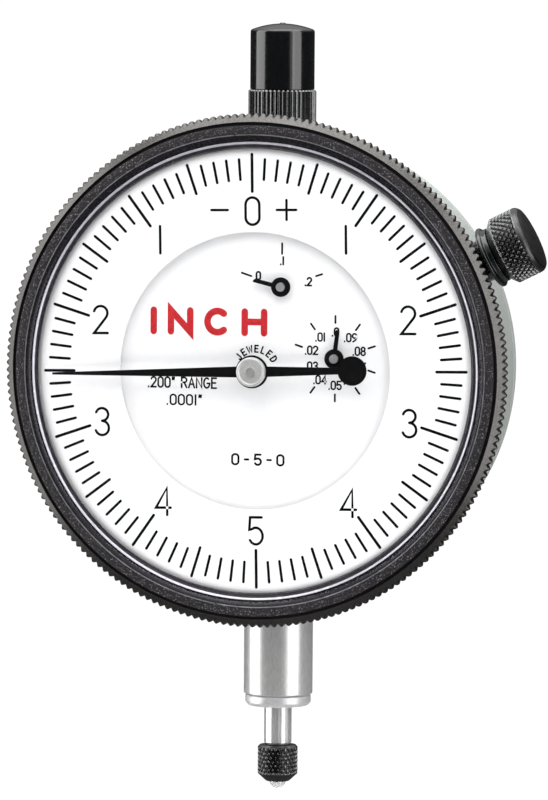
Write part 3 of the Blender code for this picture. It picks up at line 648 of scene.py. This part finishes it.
screw_spots = [polar(SCREW_CIRCLE, math.radians(45 + 90 * i)) for i in range(4)]
mesh = bmesh.new()
for inset, widen, depths in ((0.0, 0.0, (COVER_FRONT, COVER_STEPS[0])),
                             (0.12, 0.05, COVER_STEPS),
                             (0.12, 0.0, (COVER_STEPS[1], COVER_BACK))):
    bores = [ring_points(COUNTERBORE_R + widen, 40, spot) for spot in screw_spots]
    add_plate(mesh, ring_points(CASE_R - inset, 320), bores, depths, on_dial)
keep("back_cover_plate", mesh, [CASE], "body", ("back_cover",))
mesh = bmesh.new()
for inset, half in ((0.0, LUG_HALF - 0.4), (0.12, LUG_HALF - 0.2), (0.3, LUG_HALF)):
    hole = ring_points(LUG_HOLE_R + inset, 64, (LUG_HOLE_Y, 0.0))
    add_plate(mesh, lug_outline(inset), [hole], (-half, half), on_lug)
keep("back_lug", mesh, [CASE], "body")

for i in range(len(screw_spots)):
    name = f"back_screw_{i + 1}"
    at = (middle(name, 0), middle(name, 2) - DIAL_UP)
    top, slot_floor = high(name, 1), high(name, 1) - SLOT_DEPTH
    mesh = bmesh.new()
    add_plate(mesh, ring_points(SCREW_HEAD_R, 40, at), [], (low(name, 1), slot_floor), on_dial)
    tilt = 25.0 + 40.0 * i
    for side in (0.0, 180.0):
        half_head = arc_points(SCREW_HEAD_R - 0.04, SLOT_HALF_ANGLE, 180.0 - SLOT_HALF_ANGLE, 24)
        moved = [(px + at[0], pz + at[1]) for px, pz in turned_by(half_head, tilt + side)]
        add_plate(mesh, moved, [], (slot_floor, top), on_dial)
    keep(f"{name}_slotted", mesh, [STEEL], "body", (name,))

# ---------------------------------------------------------------- bezel and crystal

# the number that ends some points is the look of the band that starts there
front = DIAL_FRONT
slope = [(CHAMFER_IN + (BEZEL_R - CHAMFER_IN) * i / 6, front - CHAMFER_DEPTH + CHAMFER_DEPTH * i / 6, 3)
         for i in range(7)]
bezel_profile = [
    (28.8, -8.3), (28.8, front + 0.55), (31.2, front + 0.55), (31.2, front - 0.42, 4),
    # band 1, from 32.04 mm, is the painted highlight on the inner lip's edge
    (31.34, front - 0.62, 4), (31.80, front - 0.90, 4), (32.04, front - 0.98, 1), (32.18, front - 1.0, 0),
    # band 2, in the groove from 33.36 mm, is painted shade
    (33.26, front - 1.0), (33.36, front - 0.96, 2), (33.46, front - 0.4, 2), (33.74, front - 0.4, 2),
    (33.80, front - 0.80, 2),
]
bezel_profile += slope
bezel_profile += [
    (BEZEL_R, front + 0.25, 5), (BEZEL_R, front + 0.95, 5), (34.86, front + 1.25, 5), (34.6, front + 1.5),
    (34.2, front + 1.5), (29.75, front + 1.5), (29.75, -8.9), (29.2, -8.9), (29.2, -8.3),
]
lathe("bezel_turned", bezel_profile, BEZEL_TEETH * 6, dial_axis, [BLACK, BEZEL_EDGE_HIGHLIGHT, BEZEL_GROOVE_SHADE, SLOPE, LIP, KNURL],
      "bezel_group", ("bezel",), bezel_teeth, 24.0)

crystal_top = low("crystal", 1)
DOME_R, DOME_DROP = 28.0, 0.78              # the crystal's low dome, and how far it falls to its edge
crystal_profile = [(0.0, crystal_top)]
for i in range(1, 13):
    r = DOME_R * i / 12
    crystal_profile.append((r, crystal_top + DOME_DROP * (r / DOME_R) ** 2))
crystal_profile += [
    (28.9, crystal_top + 0.98), (29.5, crystal_top + 1.35), (29.9, crystal_top + 1.9),
    # band 1, from 30.2 mm, is painted shade at the crystal's foot
    (30.12, crystal_top + 2.6), (30.2, front - 0.45, 1), (30.3, front - 0.25, 1),
    # band 2, from 30.46 mm, is the painted reflection of the bezel in the crystal's rim
    (30.46, front - 0.22, 2), (30.72, front - 0.30, 2),
    # band 3, from 30.86 mm, is the painted highlight on the crystal's shoulder
    (30.86, front - 0.52, 3), (31.04, front - 0.70, 3), (31.12, front - 0.72, 3), (31.16, front - 0.66, 0),
    (31.16, front - 0.1, 0), (30.28, front - 0.1, 0), (29.9, front - 0.9, 0), (29.2, crystal_top + 2.1, 0),
    (28.5, crystal_top + 1.75, 0), (16.0, crystal_top + 1.1, 0), (0.0, crystal_top + 0.9)]
lathe("crystal_dome", crystal_profile, 240, dial_axis, [CRYSTAL, CRYSTAL_FOOT_SHADE, CRYSTAL_RIM_DARK_REFLECTION, CRYSTAL_SHOULDER_HIGHLIGHT],
      "bezel_group", ("crystal",), None, 40.0)

# ---------------------------------------------------------------- dials and their print

DIAL_THICK = 0.5
RING_IN, RING_OUT = 18.9, 31.05
ring_back = front + DIAL_THICK
lathe("dial_outer", soften([
    (RING_IN, front), (RING_OUT, front), (RING_OUT, ring_back), (RING_IN, ring_back)], 0.06),
    300, dial_axis, [WHITE], "bezel_group", ("dial_ring",))

TENTH_MARK = (24.4, 29.45, 0.40)            # inner and outer radius, and width, of every tenth division
FIFTH_MARK = (25.35, 29.45, 0.39)
UNIT_MARK = (26.05, 28.8, 0.37)
ring_strokes = []
for i in range(100):
    inner, outer, width = TENTH_MARK if i % 10 == 0 else FIFTH_MARK if i % 5 == 0 else UNIT_MARK
    ring_strokes.append((mark(90.0 - 3.6 * i + DIAL_TURN, inner, outer), width))
NUMERAL_R = 21.9
for i, text in enumerate("0123454321"):
    a = math.radians(90.0 - 36.0 * i + DIAL_TURN)
    reach = NUMERAL_R - 0.15 + 0.95 * math.cos(a) ** 2
    for path in words(text, polar(reach, a), 3.7, lean=DIAL_TURN):
        ring_strokes.append((path, 0.36))
signs = [[(-5.75, NUMERAL_R), (-3.45, NUMERAL_R)], [(3.4, NUMERAL_R), (6.1, NUMERAL_R)],
         [(4.75, NUMERAL_R - 1.35), (4.75, NUMERAL_R + 1.35)]]
ring_strokes += [(turned_by(path, DIAL_TURN), 0.34) for path in signs]
printed("dial_outer_print", ring_strokes, front, INK, "bezel_group")

mesh = bmesh.new()
shaft_holes = [ring_points(0.9, 32), ring_points(0.8, 32, COUNTER_ONE), ring_points(0.8, 32, COUNTER_TWO)]
add_plate(mesh, ring_points(20.3, 200), shaft_holes, (INNER_FRONT, INNER_FRONT + DIAL_THICK), on_dial)
keep("dial_inner", mesh, [WHITE], "body", ("inner_dial",))

SMALL_MARK_WIDTH = 0.27
inner_strokes = []
for i in range(10):
    inner_strokes.append((mark(90.0 + 36.0 * i, 4.85, 5.8, COUNTER_ONE), SMALL_MARK_WIDTH))
for angle, start in ((162.0, 4.5), (90.0, 4.5), (18.0, 5.0)):
    inner_strokes.append((mark(angle, start, 5.9, COUNTER_TWO), SMALL_MARK_WIDTH))
for i in range(10):
    a = math.radians(90.0 + 36.0 * i)
    spot = polar(3.42 + 0.20 * abs(math.sin(a)), a, COUNTER_ONE)
    text = ".0" if i == 0 else f".0{i}"
    inner_strokes += [(path, 0.23) for path in words(text, spot, 1.08, gap=0.22)]
for text, angle, reach in (("0", 156.0, 3.6), (".1", 90.0, 3.55), (".2", 12.0, 3.75)):
    spot = polar(reach, math.radians(angle), COUNTER_TWO)
    inner_strokes += [(path, 0.25) for path in words(text, spot, 1.05, gap=0.22)]
inner_strokes += [(path, 0.24) for path in words(".200\" RANGE", (-10.3, -1.8), 1.35, 9.6, gap=0.24)]
inner_strokes += [(path, 0.24) for path in words(".0001\"", (-10.0, -4.15), 1.35, 4.9, gap=0.24)]
inner_strokes += [(path, 0.29) for path in words("0-5-0", (0.4, -12.1), 1.4, 7.2, gap=0.5)]
for i, letter in enumerate("JEWELED"):
    angle = 142.0 - 18.1 * i
    spot = polar(3.02, math.radians(angle))
    inner_strokes += [(path, 0.21) for path in words(letter, spot, 0.88, lean=angle - 90.0)]
printed("dial_inner_print", inner_strokes, INNER_FRONT, INK, "body")
red_strokes = [(path, 0.92) for path in words("INCH", (-6.6, 6.6), 2.9, 15.5, gap=0.5)]
printed("dial_inner_red", red_strokes, INNER_FRONT, RED_INK, "body")

# ---------------------------------------------------------------- hands


def main_hand_outline():
    """A tapering pointer, a round boss, and a round counterweight on a tail."""
    boss, weight, weight_at = 2.25, 2.0, 13.95
    start = math.degrees(math.asin(0.74 / boss))
    near = math.degrees(math.asin(0.70 / boss))
    far = math.degrees(math.asin(0.45 / weight))
    outline = [(28.1, -0.15), (28.1, 0.15)]
    outline += arc_points(boss, start, 180 - near, 24)
    outline += arc_points(weight, far, 360 - far, 48, (-weight_at, 0.0))
    outline += arc_points(boss, 180 + near, 360 - start, 24)
    return outline


def counter_hand_outline():
    boss = 1.33
    start = math.degrees(math.asin(0.29 / boss))
    return [(3.7, -0.26), (4.0, 0.12), (3.85, 0.26)] + arc_points(boss, start, 360 - start, 40)


def hand(name, outline, bore, angle, at, node, body):
    mesh = bmesh.new()
    shape = [(x + at[0], z + at[1]) for x, z in turned_by(outline, angle)]
    add_plate(mesh, shape, [ring_points(bore, 32, at)], (low(node, 1), high(node, 1)), on_dial)
    return keep(name, mesh, [HAND], body, (node,))


hand("hand_long", main_hand_outline(), 1.15, MAIN_HAND, (0.0, 0.0), "main_hand", "centre_shaft")
hand("hand_counter_one", counter_hand_outline(), 0.64, COUNTER_ONE_HAND, COUNTER_ONE,
     "counter_one_hand", "counter_one")
hand("hand_counter_two", counter_hand_outline(), 0.64, COUNTER_TWO_HAND, COUNTER_TWO,
     "counter_two_hand", "counter_two")
hub_top = low("hand_hub", 1)
lathe("hand_hub_turned", [
    (0.64, -15.5), (1.08, -15.5), (1.08, -16.45), (1.98, -16.45), (2.0, -16.5), (2.0, hub_top + 0.22),
    (1.92, hub_top + 0.06), (1.8, hub_top), (1.68, hub_top + 0.02), (1.55, hub_top + 0.14),
    (1.0, hub_top + 0.16), (0.74, hub_top + 0.12), (0.68, hub_top + 0.02), (0.64, hub_top + 0.02)],
    96, dial_axis, [HUB], "centre_shaft", ("hand_hub",))

# ---------------------------------------------------------------- stem, caps and contact

up = DIAL_UP
STEM_R, STEM_BORE = 4.7625, 1.97
stem_top, stem_end = high("stem", 2), low("stem", 2)
lathe("stem_turned", soften([
    (STEM_BORE, stem_top), (STEM_R, stem_top), (STEM_R, stem_end + 0.15), (4.6, stem_end), (3.5, stem_end),
    (3.5, stem_end + 15.0), (STEM_BORE, stem_end + 15.0)], 0.05), 160, up_axis, [STEEL], "body", ("stem",))
ring_top, ring_end = high("lower_bushing", 2), low("lower_bushing", 2)
lathe("stem_ring", soften([
    (STEM_BORE, ring_top), (3.42, ring_top), (3.42, stem_end - 0.05), (4.30, stem_end - 0.05),
    (4.54, stem_end - 0.28), (4.54, ring_end + 0.45), (4.08, ring_end), (STEM_BORE, ring_end)], 0.1),
    128, up_axis, [SATIN], "body", ("lower_bushing",))

COLLAR_TEETH = 46
COLLAR_TOOTH_DEPTH = 0.30


def collar_teeth(r, a, h):
    """Straight teeth with flat crests, on the collar's outer wall."""
    crest = min(1.0, 1.6 * saw(a / TURN * COLLAR_TEETH))
    edge = min(1.0, max(0.0, (r - 4.0) / 0.4))
    return r - COLLAR_TOOTH_DEPTH * edge * (1.0 - crest), h


lathe("collar_knurled", [
    (3.06, up + 32.9), (4.5, up + 32.9), (4.7, up + 33.1), (4.7, up + 37.78), (4.55, up + 37.95),
    (3.95, up + 37.95), (3.95, up + 36.45), (3.06, up + 36.45)], COLLAR_TEETH * 8, up_axis, [KNURL], "body",
    ("knurled_collar",), collar_teeth, 24.0)
cap_top = high("dust_cap", 2)
CAP_DOME_R = 4.12
cap_profile = [(3.2, up + 36.5), (3.88, up + 36.5), (3.88, up + 38.0), (4.35, up + 38.0), (4.43, up + 38.08),
               (4.43, cap_top - 1.32), (4.40, cap_top - 1.12), (4.30, cap_top - 0.98),
               (CAP_DOME_R, cap_top - 0.88)]
for i in range(1, 8):
    r = CAP_DOME_R - 3.5 * i / 7
    cap_profile.append((r, cap_top - 0.12 - 0.76 * (r / CAP_DOME_R) ** 2.0))
cap_profile += [(0.42, cap_top - 0.13), (0.34, cap_top - 0.01), (0.0, cap_top), (0.0, up + 44.9),
                (3.2, up + 44.9)]
lathe("cap_smooth", cap_profile, 128, up_axis, [GLOSS], "body", ("dust_cap",))

shank_top, point_end = high("contact_point", 2), low("contact_point", 2)
point_top = point_end + 5.05
POINT_R, POINT_DIAMONDS = 2.77, 24
SOCKET_R, SOCKET_DEPTH, BALL_R = 1.28, 1.5, 1.2
knurl_low, knurl_high = point_end + 1.1, point_top - 0.3
point_profile = [(0.0, shank_top), (1.1, shank_top), (1.1, point_top), (2.4, point_top),
                 (2.5, point_top - 0.02)]
point_profile += list(reversed(rows(knurl_low, knurl_high, 56, POINT_R)))
point_profile += [(2.70, point_end + 1.0, 1), (1.66, point_end + 0.05, 1), (1.56, point_end, 1),
                  (SOCKET_R, point_end), (SOCKET_R, point_end + SOCKET_DEPTH),
                  (0.0, point_end + SOCKET_DEPTH)]
lathe("contact_knurled", point_profile, POINT_DIAMONDS * 20, up_axis, [KNURL, BRIGHT_CUT], "plunger",
      ("contact_point",), diamonds(POINT_DIAMONDS, 1.14, 0.32, knurl_low, knurl_high), 16.0)
ball_middle = middle("contact_ball", 2)
ball = [(BALL_R * math.sin(math.pi * i / 24), ball_middle - BALL_R * math.cos(math.pi * i / 24))
        for i in range(25)]
lathe("contact_tip", ball, 64, up_axis, [POLISHED], "plunger", ("contact_ball",))

# ---------------------------------------------------------------- bezel clamp

lathe("clamp_collar", soften([
    (1.3, 31.75), (2.95, 31.75), (2.95, 35.15), (4.12, 35.15), (4.3, 35.33), (4.3, 35.62), (4.05, 35.84),
    (3.9, 35.86), (3.85, 35.95), (3.85, 36.45), (3.75, 36.55), (1.3, 36.55)], 0.05),
    96, clamp_axis, [GLOSS], "body", ("clamp_bushing",))
KNOB_R, KNOB_DIAMONDS, KNOB_DOME_R = 4.75, 34, 4.2
knob_profile = [(0.0, 31.35), (1.2, 31.35), (1.2, 36.62), (3.7, 36.62)]
knob_profile += rows(37.6, 40.95, 60, KNOB_R)
knob_profile += [(4.72, 41.05, 1), (4.66, 41.25, 1), (4.5, 41.5, 1), (4.28, 41.68, 1)]
for i in range(1, 9):
    r = KNOB_DOME_R * (1 - i / 8)
    knob_profile.append((r, 41.72 + 0.28 * (1 - (r / KNOB_DOME_R) ** 2.0), 1))
lathe("clamp_knob_knurled", knob_profile, KNOB_DIAMONDS * 18, clamp_axis, [KNURL, BRIGHT_CUT], "clamp_knob",
      ("clamp_screw",), diamonds(KNOB_DIAMONDS, 1.0, 0.34, 37.57, 40.97), 16.0)

# ---------------------------------------------------------------- finishes of the CAD nodes that stay

NOT_STEEL = (
    (BRASS, ("plate", "gear", "pillar", "dial_post", "stud", "shoe")),
    (RUBY, ("jewel",)),
)
for name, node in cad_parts.items():
    chosen = STEEL
    for look, keys in NOT_STEEL:
        if any(key in name for key in keys):
            chosen = look
    node.data.materials.clear()
    node.data.materials.append(chosen)

# ---------------------------------------------------------------- room, light and camera

FLOOR_RADIUS, FLOOR_GAP = 0.2, 0.04         # metres
floor_mesh = bmesh.new()
bmesh.ops.create_circle(floor_mesh, cap_ends=True, segments=96, radius=FLOOR_RADIUS)
floor_data = bpy.data.meshes.new("floor")
floor_mesh.to_mesh(floor_data)
floor_mesh.free()
floor_data.materials.append(
    finish_of("floor_pale", (0.90, 0.90, 0.90), (0.93, 0.93, 0.93), (0.7, 0.8), 0.0, grain=30.0))
floor = bpy.data.objects.new("floor", floor_data)
floor.location = (0.0, 0.0, cad_box[0][2] - FLOOR_GAP)
bpy.context.scene.collection.objects.link(floor)
floor.visible_glossy = False

# the camera stands this many degrees to the right of the dial's normal and above it, and is rolled a little
AZIMUTH, ELEVATION, ROLL = 13.8, 3.9, 0.40

# the room as surfaces see it: dark near the horizon and bright overhead; the camera sees plain white
world = bpy.data.worlds.new("studio")
world.use_nodes = True
tree = world.node_tree
sky = tree.nodes["Background"]
where = tree.nodes.new("ShaderNodeTexCoord")
split = tree.nodes.new("ShaderNodeSeparateXYZ")
tree.links.new(where.outputs["Generated"], split.inputs[0])
rise = spread(tree, split.outputs["Z"], 0.0, 1.0, -1.0, 1.0)
room = [(0.0, (0.22, 0.22, 0.22)), (0.25, (0.10, 0.10, 0.10)), (0.39, (0.03, 0.03, 0.031)),
        (0.60, (0.032, 0.032, 0.033)), (0.75, (0.45, 0.45, 0.45)), (0.9, (0.8, 0.8, 0.8))]
tree.links.new(ramp(tree, rise, room), sky.inputs["Color"])
sky.inputs["Strength"].default_value = 1.4
backdrop = tree.nodes.new("ShaderNodeBackground")
backdrop.inputs["Strength"].default_value = 1.05
tree.links.new(ramp(tree, split.outputs["Z"], [(0.0, (0.99, 0.99, 0.99)), (1.0, (1.0, 1.0, 1.0))]),
               backdrop.inputs["Color"])
seen = tree.nodes.new("ShaderNodeLightPath")
choose = tree.nodes.new("ShaderNodeMixShader")
tree.links.new(seen.outputs["Is Camera Ray"], choose.inputs[0])
tree.links.new(sky.outputs[0], choose.inputs[1])
tree.links.new(backdrop.outputs[0], choose.inputs[2])
tree.links.new(choose.outputs[0], tree.nodes["World Output"].inputs["Surface"])
bpy.context.scene.world = world


def softbox(name, bearing, rise, distance, size, radiance, mirrored=True):
    """A rectangle of light facing the dial's centre, at a bearing to the right of the camera's.

    Its distance and size are in metres. One that isn't mirrored lights surfaces but shows in none.
    """
    b, r = math.radians(AZIMUTH + bearing), math.radians(rise)
    out = Vector((math.sin(b) * math.cos(r), -math.cos(b) * math.cos(r), math.sin(r)))
    lamp = bpy.data.lights.new(name, "AREA")
    lamp.shape = "RECTANGLE"
    lamp.size, lamp.size_y = size
    lamp.energy = radiance * math.pi * size[0] * size[1]
    thing = bpy.data.objects.new(name, lamp)
    thing.location = Vector((0.0, DIAL_FRONT, DIAL_UP)) * MM + out * distance
    thing.rotation_euler = (-out).to_track_quat("-Z", "Y").to_euler()
    thing.visible_glossy = mirrored
    bpy.context.scene.collection.objects.link(thing)


softbox("left_window", -88.0, 4.0, 0.8, (0.60, 1.2), 3.3)
softbox("right_window", 54.0, 4.0, 0.8, (0.50, 1.2), 2.9)
softbox("right_soft", 36.0, 4.0, 0.82, (0.26, 1.2), 0.8)
softbox("top_window", 10.0, 84.0, 0.8, (1.2, 0.9), 3.1)
softbox("front_high", 0.0, 52.0, 1.0, (1.6, 0.5), 1.6, mirrored=False)
SUN_TILT = -12.0                # degrees about X: it shines down and a little towards the front
overhead = bpy.data.lights.new("overhead", "SUN")
overhead.energy = 1.1
overhead.angle = math.radians(70.0)
sun = bpy.data.objects.new("overhead", overhead)
sun.rotation_euler = (math.radians(SUN_TILT), 0.0, 0.0)
sun.visible_glossy = False
bpy.context.scene.collection.objects.link(sun)

IMAGE_HEIGHT = 800
DIAL_SCALE = 7.365              # image pixels for a millimetre at the dial
LENS, SENSOR = 274.0, 36.0
DIAL_RIGHT, DIAL_RAISED = -2.70, 3.90   # dial centre from the picture's middle, millimetres

a, e = math.radians(AZIMUTH), math.radians(ELEVATION)
back = Vector((math.sin(a) * math.cos(e), -math.cos(a) * math.cos(e), math.sin(e)))
turn = (-back).to_track_quat("-Z", "Y").to_matrix() @ Matrix.Rotation(math.radians(ROLL), 3, "Z")
right, over = turn @ Vector((1, 0, 0)), turn @ Vector((0, 1, 0))
dial_centre = Vector((0.0, DIAL_FRONT, DIAL_UP)) * MM
reach = LENS / SENSOR * IMAGE_HEIGHT / DIAL_SCALE * MM
camera_data = bpy.data.cameras.new("camera")
camera_data.sensor_width = SENSOR
camera_data.lens = LENS
camera_data.clip_start = 0.01
camera_data.clip_end = 20.0
camera = bpy.data.objects.new("camera", camera_data)
camera.location = dial_centre - right * DIAL_RIGHT * MM - over * DIAL_RAISED * MM + back * reach
camera.rotation_euler = turn.to_euler()
bpy.context.scene.collection.objects.link(camera)
bpy.context.scene.camera = camera
bpy.context.scene.view_settings.view_transform = "Standard"
